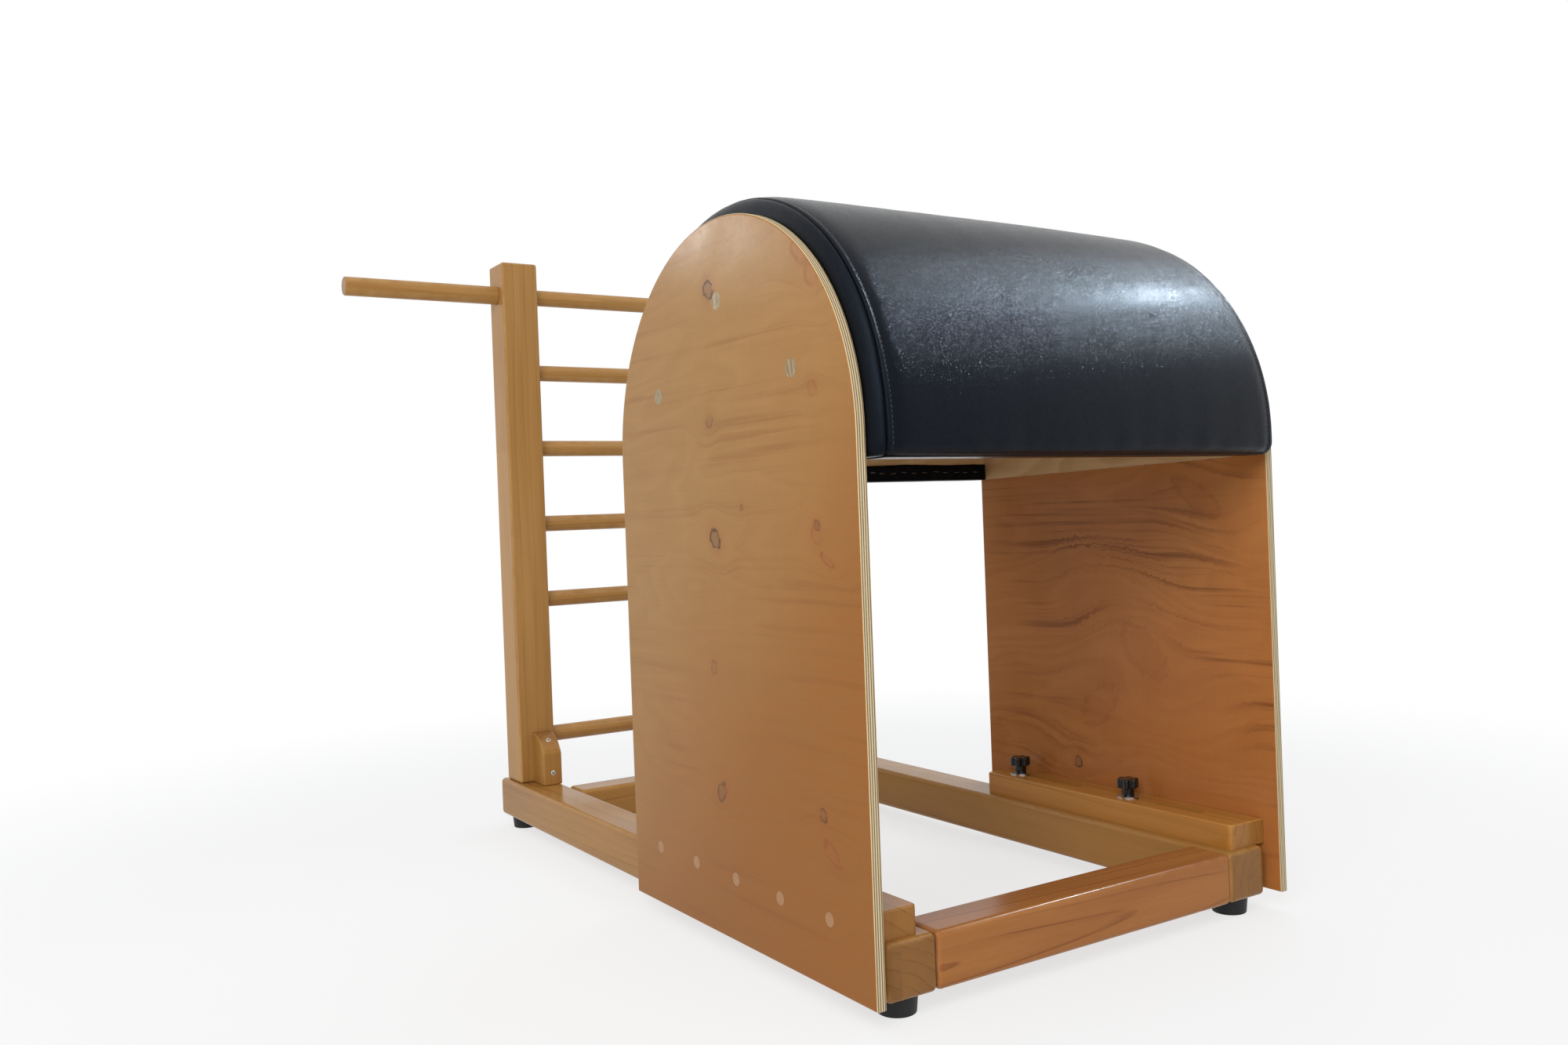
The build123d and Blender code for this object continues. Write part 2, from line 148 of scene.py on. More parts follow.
def remap(value, low, high):
    # from 0 and 1 to low and high
    node = addNode("ShaderNodeMapRange")
    feed(node.inputs[0], value)
    feed(node.inputs[3], low)
    feed(node.inputs[4], high)
    return node.outputs[0]


def blendColour(amount, first, second):
    node = addNode("ShaderNodeMix", data_type="RGBA")
    feed(node.inputs[0], amount)
    feed(node.inputs[6], first)
    feed(node.inputs[7], second)
    return node.outputs[2]


def ink(red, green, blue):
    # a colour picked on screen, 0 to 255, as the linear one that shaders use
    def linear(value):
        value /= 255
        return value / 12.92 if value <= 0.04045 else ((value + 0.055) / 1.055) ** 2.4
    return (linear(red), linear(green), linear(blue), 1.0)


def makeGroup(name, **inputs):
    # starts a node group; an input's kind follows from its value, and None makes a vector
    tree = groups[name] = current["tree"] = bpy.data.node_groups.new(name, "ShaderNodeTree")
    for label, value in {"vector": None, **inputs}.items():
        kind = "Vector" if value is None else "Color" if isinstance(value, tuple) else "Float"
        socket = tree.interface.new_socket(name=label, in_out="INPUT", socket_type=f"NodeSocket{kind}")
        if value is not None:
            socket.default_value = value
    given = addNode("NodeGroupInput").outputs
    return given["vector"], given


def giveOut(**values):
    # ends a node group with its outputs
    for label in values:
        kind = "Color" if label == "colour" else "Float"
        current["tree"].interface.new_socket(name=label, in_out="OUTPUT", socket_type=f"NodeSocket{kind}")
    result = addNode("NodeGroupOutput").inputs
    for label, value in values.items():
        feed(result[label], value)


def placeGroup(name, **values):
    node = addNode("ShaderNodeGroup", node_tree=groups[name])
    for label, value in values.items():
        feed(node.inputs[label], value)
    return node.outputs


# Node groups: effects that several materials share

def buildTimberGrain():
    # growth lines round the pith, fibres and flecks in a length of timber; the grain runs along X
    place, given = makeGroup("timberGrain", ringWidth=0.012, ringStrength=0.3, wander=0.012, lamella=0.03,
                             light=ink(190, 145, 95), dark=ink(130, 85, 45), lineColour=ink(110, 66, 34))
    parts = splitUp(place)
    lamella = maths("FLOOR", divide(parts[1], given["lamella"]))
    moved = vectorMaths("ADD", place, putTogether(times(lamella, 1.7), 0.0, times(lamella, 0.031)))
    across = splitUp(moved)
    wander = stretchedNoise(moved, (1.3, 6.0, 6.0))
    radius = vectorMaths("LENGTH", putTogether(0.0, across[1], across[2]))
    radius = plus(radius, times(wander, given["wander"]))
    ring = maths("FRACT", divide(radius, given["ringWidth"]))
    line = times(smoothStep(ring, 0.82, 0.95), smoothStep(ring, 1.0, 0.96))
    broken = smoothStep(stretchedNoise(moved, (3.0, 40.0, 40.0)), 0.36, 0.62)
    rings = times(line, broken)
    fibres = stretchedNoise(moved, (5.0, 300.0, 300.0), 3.0, 0.6)
    flecks = smoothStep(stretchedNoise(moved, (60.0, 700.0, 700.0), 1.0), 0.64, 0.76)
    drift = stretchedNoise(moved, (2.2, 18.0, 18.0))
    tone = plus(times(fibres, 0.55), times(drift, 1.3), times(ring, 0.16), times(flecks, 0.18),
                times(randomBy(lamella), 0.30))
    tone = minus(tone, 0.68, clamp=True)
    colour = blendColour(tone, given["light"], given["dark"])
    lined = blendColour(times(rings, given["ringStrength"]), colour, given["lineColour"])
    giveOut(colour=lined, rings=line, fibres=fibres)


def buildPeeledVeneer():
    # wavy contours, streaks and blotches of rotary-cut veneer; the grain runs along X
    place, given = makeGroup("peeledVeneer", bend=0.0, contours=0.25, streaks=0.3, blotches=0.3,
                             light=ink(180, 130, 75), dark=ink(140, 92, 45), streakColour=ink(110, 60, 30))
    bent = vectorMaths("ADD", place, putTogether(0.0, given["bend"], 0.0))
    field = stretchedNoise(bent, (1.3, 5.5, 1.0), 3.0, 0.45)
    contour = maths("FRACT", times(field, 17.0))
    contour = times(smoothStep(contour, 0.0, 0.75), smoothStep(contour, 1.0, 0.82))
    fibres = stretchedNoise(bent, (9.0, 260.0, 40.0), 3.0, 0.6)
    shimmer = stretchedNoise(place, (95.0, 14.0, 5.0))
    streak = stretchedNoise(bent, (1.5, 62.0, 1.0), 4.0, 0.6)
    streak = times(smoothStep(streak, 0.51, 0.70), smoothStep(noiseAt(place, 3.4), 0.36, 0.58))
    blotch = noiseAt(place, 4.2, 3.0)
    tone = plus(times(contour, given["contours"]), times(fibres, 0.30), times(shimmer, 0.16),
                times(blotch, given["blotches"]))
    tone = minus(tone, 0.15, clamp=True)
    base = blendColour(tone, given["light"], given["dark"])
    amount = times(streak, given["streaks"])
    giveOut(colour=blendColour(amount, base, given["streakColour"]), fibres=fibres)


def buildVeneerKnot():
    # one knot: a dark rim round a greyer heart, a warm halo, and the bend that it gives the grain
    place, given = makeGroup("veneerKnot", centre=None, radius=0.014, tilt=0.0)
    away = vectorMaths("SUBTRACT", place, given["centre"])
    parts = splitUp(away)
    leaned = plus(parts[0], times(parts[1], given["tilt"]))
    flat = putTogether(leaned, times(parts[1], 0.92), 0.0)
    distance = divide(vectorMaths("LENGTH", flat), given["radius"])
    ragged = minus(noiseAt(place, 95.0), 0.5)
    distance = plus(distance, times(ragged, 0.9))
    heart = smoothStep(distance, 0.95, 0.65)
    rim = times(smoothStep(distance, 0.62, 0.88), smoothStep(distance, 1.18, 0.98))
    rim = times(rim, smoothStep(noiseAt(place, 60.0), 0.30, 0.52))
    halo = smoothStep(distance, 2.6, 0.9)
    bend = times(parts[1], times(smoothStep(distance, 5.0, 0.5), -0.7))
    giveOut(rim=rim, heart=heart, halo=halo, bend=bend)


def buildPlyStripes():
    # the plies of a board seen on its edge; depth runs from 0 to 1 through the board
    place, given = makeGroup("plyStripes", depth=0.0, plies=9.0,
                             facePly=ink(224, 212, 172), crossPly=ink(128, 96, 74))
    parts = splitUp(place)
    along = putTogether(parts[0], 0.0, parts[2])
    wobble = minus(noiseAt(along, 14.0), 0.5)
    level = times(given["depth"], given["plies"])
    level = plus(level, times(wobble, 0.5))
    odd = maths("PINGPONG", minus(level, 0.5), 1.0)
    cross = smoothStep(odd, 0.42, 0.66)
    drawnOut = putTogether(times(parts[0], 9.0), times(given["depth"], 70.0), times(parts[2], 9.0))
    streaks = noiseAt(drawnOut, 1.0, 3.0)
    pores = noiseAt(along, 700.0, 1.0)
    amount = times(cross, remap(pores, 0.90, 1.0), clamp=True)
    pale = blendColour(times(randomBy(maths("FLOOR", level)), 0.35), given["facePly"], ink(190, 170, 124))
    pale = blendColour(smoothStep(streaks, 0.52, 0.75), pale, ink(178, 156, 116))
    giveOut(colour=blendColour(amount, pale, given["crossPly"]), height=minus(streaks, times(cross, 0.6)))


def buildVarnishFilm():
    # a brushed coat of varnish: smears in its gloss, orange peel, and a trace of the grain below
    place, given = makeGroup("varnishFilm", grain=0.5, gloss=0.3, peel=1.0)
    smear = noiseAt(place, 9.0, 4.0, 0.6)
    specks = smoothStep(noiseAt(place, 260.0, 1.0), 0.70, 0.78)
    peel = noiseAt(place, 130.0)
    rough = plus(given["gloss"], times(minus(smear, 0.5), 0.22))
    rough = plus(rough, times(specks, 0.12))
    height = plus(times(peel, given["peel"]), times(given["grain"], 0.35))
    giveOut(roughness=plus(rough, times(given["grain"], 0.04)), height=plus(height, times(specks, 0.4)))


def buildEdgeWearAndHighlight():
    # rounded edges, found by how far the normal leans from the nearest axis, broken up by noise; timber gets
    # a paler colour there, partly worn varnish and partly a painted highlight on the rounding
    place, given = makeGroup("edgeWearAndHighlight", normal=None, patchiness=0.5)
    parts = splitUp(vectorMaths("ABSOLUTE", given["normal"]))
    flatness = larger(parts[0], larger(parts[1], parts[2]))
    patches = noiseAt(place, 34.0, 3.0, 0.6)
    edge = smoothStep(flatness, 0.99, 0.82)
    worn = smoothStep(patches, given["patchiness"], 0.75)
    giveOut(mask=times(edge, worn))


def buildVinylGrain():
    # pebbled leather grain with finer creases between the pebbles
    place, given = makeGroup("vinylGrain", pebble=0.0016)
    shift = putTogether(noiseAt(place, 420.0), 0.0, noiseAt(place, 380.0))
    bent = vectorMaths("ADD", place, vectorMaths("MULTIPLY", shift, (0.0012, 0.0, 0.0012)))
    cells = addNode("ShaderNodeTexVoronoi", feature="DISTANCE_TO_EDGE")
    feed(cells.inputs["Vector"], bent)
    feed(cells.inputs["Scale"], divide(1.0, given["pebble"]))
    creases = smoothStep(cells.outputs["Distance"], 0.12, 0.0)
    pebbles = smoothStep(cells.outputs["Distance"], 0.0, 0.30)
    swell = noiseAt(place, 240.0)
    dust = smoothStep(noiseAt(place, 620.0, 1.0), 0.70, 0.80)
    giveOut(height=plus(pebbles, times(swell, 0.5)), creases=creases,
            dust=times(dust, noiseAt(place, 7.0)))


def buildMouldSkin():
    # the fine skin of moulded plastic and rubber, with scuffs
    place, given = makeGroup("mouldSkin", grit=900.0, baseRoughness=0.3)
    grit = noiseAt(place, given["grit"], 2.0)
    scuff = stretchedNoise(place, (260.0, 90.0, 160.0), 3.0, 0.7)
    scuff = smoothStep(scuff, 0.60, 0.76)
    giveOut(roughness=plus(given["baseRoughness"], times(scuff, 0.2)), height=grit, scuffs=scuff)


def buildPlating():
    # plated or turned metal: fine lathe lines about the piece and a cloudy film
    place, given = makeGroup("plating", lines=1400.0, baseRoughness=0.25)
    film = noiseAt(place, 120.0, 4.0, 0.65)
    lines = noiseAt(vectorMaths("MULTIPLY", place, (0.08, 0.08, 1.0)), given["lines"], 2.0)
    rough = plus(given["baseRoughness"], times(minus(film, 0.5), 0.3))
    giveOut(roughness=rough, height=lines, film=smoothStep(film, 0.45, 0.75))


print("materials: building the shared node groups")
for build in (buildTimberGrain, buildPeeledVeneer, buildVeneerKnot, buildPlyStripes, buildVarnishFilm,
              buildEdgeWearAndHighlight, buildVinylGrain, buildMouldSkin, buildPlating):
    build()


def openTree(owner):
    # empties the node tree of a material or a world, and adds nodes there from now on
    owner.use_nodes = True
    owner.node_tree.nodes.clear()
    current["tree"] = owner.node_tree


def newMaterial(name, shaderValues):
    # an empty material with its shader, and the object coordinates and normal that its nodes read
    material = bpy.data.materials.new(name)
    openTree(material)
    shader = addNode("ShaderNodeBsdfPrincipled")
    feed(addNode("ShaderNodeOutputMaterial").inputs[0], shader.outputs[0])
    for label, value in shaderValues.items():
        shader.inputs[label].default_value = value
    coordinates = addNode("ShaderNodeTexCoord").outputs
    return material, shader, coordinates["Object"], coordinates["Normal"]


def dress(material, shader, colour, roughness, height, distance):
    # the last step of every material; distance is how high its bump stands, in metres
    bump = addNode("ShaderNodeBump")
    bump.inputs["Distance"].default_value = distance
    feed(bump.inputs["Height"], height)
    feed(shader.inputs["Base Color"], colour)
    feed(shader.inputs["Roughness"], roughness)
    feed(shader.inputs["Normal"], bump.outputs[0])
    return material


# how each grain axis is turned onto X, and which part of a normal points along it
grainTurns = {
    "X": ((0.0, 0.0, 0.0), 0),
    "Y": ((0.0, 0.0, -math.pi / 2), 1),
    "Z": ((0.0, math.pi / 2, 0.0), 2),
}


def alongGrain(vector, axis, centre, pith):
    # coordinates with the grain along X, and the pith beside the piece
    turn = grainTurns[axis][0]
    along, side, below, lean = pith
    lean = (turn[0], turn[1] + lean, turn[2] + lean * 0.6)
    shifted = Euler(lean, "XYZ").to_matrix() @ centre
    node = addNode("ShaderNodeMapping")
    feed(node.inputs["Vector"], vector)
    node.inputs["Rotation"].default_value = lean
    node.inputs["Location"].default_value = Vector((along, side, below)) - shifted
    return node.outputs[0]


# each look's paler colour for rounded edges is partly worn varnish and partly a painted highlight
timberLooks = {
    "oiledBeech": {
        "light": ink(188, 142, 84), "dark": ink(160, 115, 60), "line": ink(124, 84, 44),
        "endTone": ink(128, 88, 50), "rubAndHighlight": ink(206, 168, 116), "gloss": 0.30, "ringWidth": 0.014,
        "rings": 0.28, "wander": 0.03, "bump": 0.00008,
    },
    "frameBeech": {
        "light": ink(180, 132, 70), "dark": ink(150, 104, 50), "line": ink(108, 68, 34),
        "endTone": ink(118, 78, 46), "rubAndHighlight": ink(190, 142, 88), "gloss": 0.20, "ringWidth": 0.016,
        "rings": 0.30, "wander": 0.04, "bump": 0.00006,
    },
    "battenBeech": {
        "light": ink(204, 146, 72), "dark": ink(170, 114, 50), "line": ink(120, 74, 34),
        "endTone": ink(136, 92, 50), "rubAndHighlight": ink(214, 164, 100), "gloss": 0.20, "ringWidth": 0.018,
        "rings": 0.25, "wander": 0.04, "bump": 0.00006,
    },
    "frontBeech": {
        "light": ink(180, 120, 66), "dark": ink(156, 98, 50), "line": ink(116, 62, 32),
        "endTone": ink(118, 76, 46), "rubAndHighlight": ink(196, 146, 92), "gloss": 0.20, "ringWidth": 0.017,
        "rings": 0.60, "wander": 0.022, "bump": 0.00006,
    },
    "rawTimber": {
        "light": ink(222, 192, 144), "dark": ink(190, 154, 104), "line": ink(164, 122, 78),
        "endTone": ink(178, 142, 98), "rubAndHighlight": ink(230, 206, 164), "gloss": 0.62, "ringWidth": 0.008,
        "rings": 0.45, "wander": 0.03, "bump": 0.00020,
    },
}


lamellaWidth = 0.037  # of the strips that each length is glued from


def timberMaterial(name, lookName, axis, centre, pith):
    look = timberLooks[lookName]
    material, shader, place, normal = newMaterial(name, {"Specular IOR Level": 0.16})
    grainPlace = alongGrain(place, axis, centre, pith)
    grain = placeGroup("timberGrain", vector=grainPlace, ringWidth=look["ringWidth"],
                       ringStrength=look["rings"], wander=look["wander"], lamella=lamellaWidth,
                       light=look["light"], dark=look["dark"], lineColour=look["line"])
    facing = maths("ABSOLUTE", splitUp(normal)[grainTurns[axis][1]])
    ends = smoothStep(facing, 0.55, 0.95)
    # rounded edges turn paler, partly as worn varnish and partly as a painted highlight
    rubAndHighlight = placeGroup("edgeWearAndHighlight", vector=place, normal=normal, patchiness=0.32)
    endColour = blendColour(grain["rings"], look["endTone"], look["line"])
    colour = blendColour(times(ends, 0.6), grain["colour"], endColour)
    colour = blendColour(times(rubAndHighlight["mask"], 0.35), colour, look["rubAndHighlight"])
    film = placeGroup("varnishFilm", vector=place, grain=grain["fibres"], gloss=look["gloss"], peel=0.5)
    return dress(material, shader, colour, film["roughness"], film["height"], look["bump"])


def giveMaterial(piece, material):
    piece.data.materials.clear()
    piece.data.materials.append(material)
    for polygon in piece.data.polygons:
        polygon.material_index = 0


# Timber: each piece's finish, grain axis and pith, which is a shift along the grain, the pith's place
# beside and below the piece's centre, and its lean, in metres and radians.
timberPieces = {
    "side_rail_near": ("frameBeech", "X", (0.3, 0.05, 0.09, 0.012)),
    "side_rail_far": ("frameBeech", "X", (1.9, -0.04, 0.07, -0.010)),
    "front_cross_rail": ("frontBeech", "Y", (0.7, 0.055, 0.012, 0.085)),
    "rear_cross_rail": ("frameBeech", "Y", (2.6, -0.06, 0.04, 0.02)),
    "slide_batten_near": ("battenBeech", "X", (3.1, 0.08, 0.05, 0.015)),
    "slide_batten_far": ("battenBeech", "X", (4.4, 0.07, -0.06, -0.013)),
    "ladder_post_near": ("oiledBeech", "Z", (0.2, 0.11, 0.08, 0.010)),
    "ladder_post_far": ("oiledBeech", "Z", (5.2, -0.09, 0.10, -0.012)),
    "handle_near": ("oiledBeech", "Y", (1.2, 0.05, 0.04, 0.03)),
    "handle_far": ("oiledBeech", "Y", (6.1, 0.04, -0.05, 0.02)),
    "post_block_near": ("frameBeech", "Z", (0.9, 0.05, 0.03, 0.04)),
    "post_block_far": ("frameBeech", "Z", (2.2, -0.04, 0.05, -0.03)),
}
for number in range(1, 7):
    timberPieces[f"rung_{number}"] = ("oiledBeech", "Y", (
        0.83 * number, 0.03 + 0.004 * number, 0.05, 0.015 * (-1) ** number))
for number, name in enumerate(("front", "top", "rear")):
    timberPieces[f"cross_bar_{name}"] = ("rawTimber", "Y", (1.3 * number, 0.07, 0.03 * number, 0.02))


def finishTimber():
    for name, (lookName, axis, pith) in timberPieces.items():
        low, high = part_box(name)
        giveMaterial(nodes[name], timberMaterial(name, lookName, axis, (low + high) / 2, pith))


# Side panels: places on a panel are (along X, up Z) in metres in the part's frame
panelLooks = {
    "near": {
        "light": ink(174, 132, 80), "dark": ink(146, 104, 54),
        "warm": ink(156, 94, 36), "streak": ink(130, 78, 36),
        "contours": 0.13, "streaks": 0.35, "blotches": 0.40, "seed": 0.0,
        # the veneer is paler towards the rear and top, a painted sheen, and warmer towards the front and
        # foot; this pair is where that change starts and ends
        "sheenToWarm": (-0.45, 0.25),  # along X minus Z, in metres
        "knots": [  # place, radius, tilt, how dark the rim is
            ((0.313, 0.930), 0.013, 0.2, 0.80), ((0.303, 0.748), 0.009, -0.2, 0.40),
            ((0.307, 0.585), 0.013, 0.3, 0.80), ((0.291, 0.404), 0.009, 0.0, 0.35),
            ((0.300, 0.231), 0.012, -0.3, 0.62), ((0.561, 0.600), 0.006, 0.2, 0.60),
            ((0.551, 0.243), 0.008, 0.3, 0.60), ((0.382, 0.626), 0.004, 0.0, 0.45),
        ],
        "scars": [  # reddish patches with a rim: place, radius, tilt, strength
            ((0.561, 0.588), 0.013, 0.2, 0.50), ((0.580, 0.557), 0.009, 1.2, 0.75),
            ((0.568, 0.199), 0.013, 0.8, 0.60), ((0.545, 0.940), 0.018, 0.5, 0.55),
            ((0.569, 0.905), 0.015, 0.3, 0.50), ((0.561, 0.768), 0.009, 0.0, 0.45),
        ],
    },
    "far": {
        "light": ink(206, 142, 84), "dark": ink(168, 106, 56),
        "warm": ink(190, 122, 64), "streak": ink(92, 46, 24),
        "contours": 0.16, "streaks": 0.60, "blotches": 0.75, "seed": 5.3,
        "sheenToWarm": (-0.3, 0.5),
        "knots": [((0.246, 0.165), 0.009, 0.0, 0.75)],
        "scars": [((0.40, 0.37), 0.04, 0.6, 0.25), ((0.30, 0.27), 0.035, -0.5, 0.30),
                  ((0.52, 0.62), 0.03, 1.0, 0.3)],
    },
}


markLooks = {  # how strongly each part of a mark shows, and in what colour
    "knots": (("halo", 0.25, ink(150, 80, 40)), ("heart", 0.45, ink(104, 86, 66)),
              ("rim", 1.0, ink(66, 48, 32))),
    "scars": (("halo", 0.12, ink(150, 80, 40)), ("heart", 0.35, ink(160, 88, 52)),
              ("rim", 0.7, ink(132, 66, 36))),
}


def panelMaterial(side):
    look = panelLooks[side]
    low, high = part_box(f"side_panel_{side}")
    material, shader, place, normal = newMaterial(f"varnishedPly_{side}", {"Specular IOR Level": 0.12})
    parts = splitUp(place)
    facePlace = putTogether(parts[0], parts[2], times(parts[1], 0.2))
    bend, marks = 0.0, []
    for kind in ("knots", "scars"):
        for (x, z), radius, tilt, strength in look[kind]:
            knot = placeGroup("veneerKnot", vector=putTogether(parts[0], parts[2], 0.0),
                              centre=(x, z, 0.0), radius=radius, tilt=tilt)
            bend = plus(bend, knot["bend"])
            marks.append((kind, strength, knot))
    seeded = vectorMaths("ADD", facePlace, (look["seed"], look["seed"], 0.0))
    # paler towards the rear and top, where the light colour is a painted sheen, and turning to the warm
    # colour towards the front and foot
    slope = minus(parts[0], parts[2])
    slope = plus(slope, times(noiseAt(facePlace, 2.4), 0.3))
    outOfSheen = smoothStep(slope, look["sheenToWarm"][0] + 0.15, look["sheenToWarm"][1] + 0.15)
    light = blendColour(outOfSheen, look["light"], look["warm"])
    veneer = placeGroup("peeledVeneer", vector=seeded, bend=bend, contours=look["contours"],
                        streaks=look["streaks"], blotches=look["blotches"], light=light,
                        dark=look["dark"], streakColour=look["streak"])
    colour = veneer["colour"]
    for kind, strength, knot in marks:
        for part, share, tint in markLooks[kind]:
            colour = blendColour(times(knot[part], share * strength), colour, tint)
    depth = divide(minus(parts[1], low.y), high.y - low.y)
    edge = placeGroup("plyStripes", vector=place, depth=depth, plies=9.0)
    facing = maths("ABSOLUTE", splitUp(normal)[1])
    onEdge = smoothStep(facing, 0.80, 0.60)
    rim = times(smoothStep(facing, 0.985, 0.85), 0.45)
    colour = blendColour(rim, colour, ink(176, 96, 48))
    colour = blendColour(onEdge, colour, edge["colour"])
    film = placeGroup("varnishFilm", vector=place, grain=veneer["fibres"], gloss=0.20, peel=1.0)
    roughness = plus(film["roughness"], times(onEdge, 0.28))
    height = plus(film["height"], times(onEdge, edge["height"]))
    return dress(material, shader, colour, roughness, height, 0.00006)


def rawPlyMaterial(name, stripes):
    # sanded, unfinished plywood; stripes is "y" for a flat board or "radius" for the bent shell
    material, shader, place, normal = newMaterial(name, {"Specular IOR Level": 0.25})
    parts = splitUp(place)
    if stripes == "y":
        low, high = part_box(name)
        depth = divide(minus(parts[1], low.y), high.y - low.y)
        facePlace = putTogether(parts[0], parts[2], 0.0)
    else:
        radial = putTogether(minus(parts[0], archX), 0.0, larger(minus(parts[2], archHeight), 0.0))
        radius = vectorMaths("LENGTH", radial)
        thickness = shellHigh.x - archX - shellInner
        depth = divide(minus(radius, shellInner), thickness)
        facePlace = putTogether(parts[1], plus(parts[2], parts[0]), 0.0)
    veneer = placeGroup("peeledVeneer", vector=facePlace, contours=0.4, streaks=0.25, blotches=0.4,
                        light=ink(226, 198, 152), dark=ink(196, 158, 108), streakColour=ink(168, 118, 76))
    edge = placeGroup("plyStripes", vector=place, depth=depth, plies=9.0)
    facing = maths("ABSOLUTE", splitUp(normal)[1])
    # a flat board shows its plies where it doesn't face Y, the shell where it does, and at its feet
    if stripes == "y":
        onEdge = smoothStep(facing, 0.8, 0.6)
    else:
        feet = smoothStep(times(splitUp(normal)[2], -1.0), 0.8, 0.95)
        low = smoothStep(parts[2], frontFoot + 0.002, frontFoot + 0.0005)
        onEdge = larger(smoothStep(facing, 0.6, 0.8), times(feet, low))
    rough = remap(veneer["fibres"], 0.55, 0.8)
    colour = blendColour(onEdge, veneer["colour"], edge["colour"])
    return dress(material, shader, colour, rough, veneer["fibres"], 0.00022)


vinylLook = {
    "base": ink(12, 14, 18), "creaseShade": ink(6, 6, 8), "dust": ink(96, 98, 104),
    "pebble": 0.0016, "roughness": 0.19, "bump": 0.00012,
}


def vinylMaterial():
    material, shader, place, normal = newMaterial("blackVinyl", {
        "Specular IOR Level": 0.13, "Specular Tint": (0.50, 0.70, 1.0, 1.0)})
    grain = placeGroup("vinylGrain", vector=place, pebble=vinylLook["pebble"])
    worn = noiseAt(place, 9.0, 6.0, 0.7)
    # the creases between the pebbles are darker, a painted shade
    colour = blendColour(grain["creases"], vinylLook["base"], vinylLook["creaseShade"])
    colour = blendColour(times(grain["dust"], 0.30), colour, vinylLook["dust"])
    rough = plus(vinylLook["roughness"], times(minus(worn, 0.5), 0.10))
    rough = plus(rough, times(grain["creases"], 0.15))
    return dress(material, shader, colour, rough, grain["height"], vinylLook["bump"])


def threadMaterial():
    material, shader, place, normal = newMaterial("blackThread", {
        "Sheen Weight": 0.25, "Sheen Roughness": 0.4})
    twist = addNode("ShaderNodeTexWave", wave_type="BANDS", bands_direction="DIAGONAL")
    feed(twist.inputs["Vector"], place)
    twist.inputs["Scale"].default_value = 900.0
    twist.inputs["Distortion"].default_value = 1.5
    strand = twist.outputs["Fac"]
    # the raised crests of the twist are lighter and its grooves darker, a painted highlight and a painted
    # shade
    colour = blendColour(strand, ink(14, 14, 16), ink(58, 59, 64))
    return dress(material, shader, colour, remap(strand, 0.45, 0.7), strand, 0.0002)


def mouldedMaterial(name, colour, scuffColour, roughness, grit, bump, specular):
    material, shader, place, normal = newMaterial(name, {"Specular IOR Level": specular})
    skin = placeGroup("mouldSkin", vector=place, grit=grit, baseRoughness=roughness)
    colour = blendColour(times(skin["scuffs"], 0.5), colour, scuffColour)
    return dress(material, shader, colour, skin["roughness"], skin["height"], bump)


def platedMaterial(name, bright, dull, roughness, lines):
    material, shader, place, normal = newMaterial(name, {"Metallic": 1.0})
    plate = placeGroup("plating", vector=place, lines=lines, baseRoughness=roughness)
    colour = blendColour(plate["film"], bright, dull)
    return dress(material, shader, colour, plate["roughness"], plate["height"], 0.00004)


def plugMaterial(name, light, dark, turn, contours):
    # a round plug cut from face grain, its grain at its own angle
    material, shader, place, normal = newMaterial(name, {"Specular IOR Level": 0.36})
    parts = splitUp(place)
    turned = addNode("ShaderNodeMapping")
    feed(turned.inputs["Vector"], putTogether(parts[0], parts[2], 0.0))
    turned.inputs["Rotation"].default_value = (0.0, 0.0, turn)
    turned.inputs["Scale"].default_value = (5.0, 5.0, 1.0)
    veneer = placeGroup("peeledVeneer", vector=turned.outputs[0], contours=contours, streaks=0.35,
                        blotches=0.3, light=light, dark=dark, streakColour=dark)
    film = placeGroup("varnishFilm", vector=place, grain=veneer["fibres"], gloss=0.3, peel=0.6)
    return dress(material, shader, veneer["colour"], film["roughness"], film["height"], 0.00012)


def finishNodes():
    finishTimber()
    for side in ("near", "far"):
        giveMaterial(nodes[f"side_panel_{side}"], panelMaterial(side))
        giveMaterial(nodes[f"cheek_{side}"], rawPlyMaterial(f"cheek_{side}", "y"))
    giveMaterial(nodes["barrel_shell"], rawPlyMaterial("barrel_shell", "radius"))
    lowerPlug = plugMaterial("lowerPlugs", ink(176, 130, 88), ink(156, 110, 68), 0.3, 0.3)
    upperPlug = plugMaterial("upperPlugs", ink(178, 158, 118), ink(128, 106, 72), 1.4, 0.8)
    giveMaterial(nodes["lower_plugs"], lowerPlug)
    giveMaterial(nodes["upper_plugs"], upperPlug)
    for end in ("front", "rear"):
        for side in ("near", "far"):
            giveMaterial(nodes[f"knob_{end}_{side}"], looks["knobPlastic"])
            giveMaterial(nodes[f"stud_{end}_{side}"], looks["zincPlate"])
            giveMaterial(nodes[f"washer_{end}_{side}"], looks["zincPlate"])
            giveMaterial(nodes[f"foot_{end}_{side}"], looks["footRubber"])
    for name in ("foot_screws", "foot_washers", "batten_screws", "bar_bolts", "barrel_nuts", "shell_screws"):
        giveMaterial(nodes[name], looks["zincPlate"])
    giveMaterial(nodes["threaded_inserts"], looks["insertBrass"])


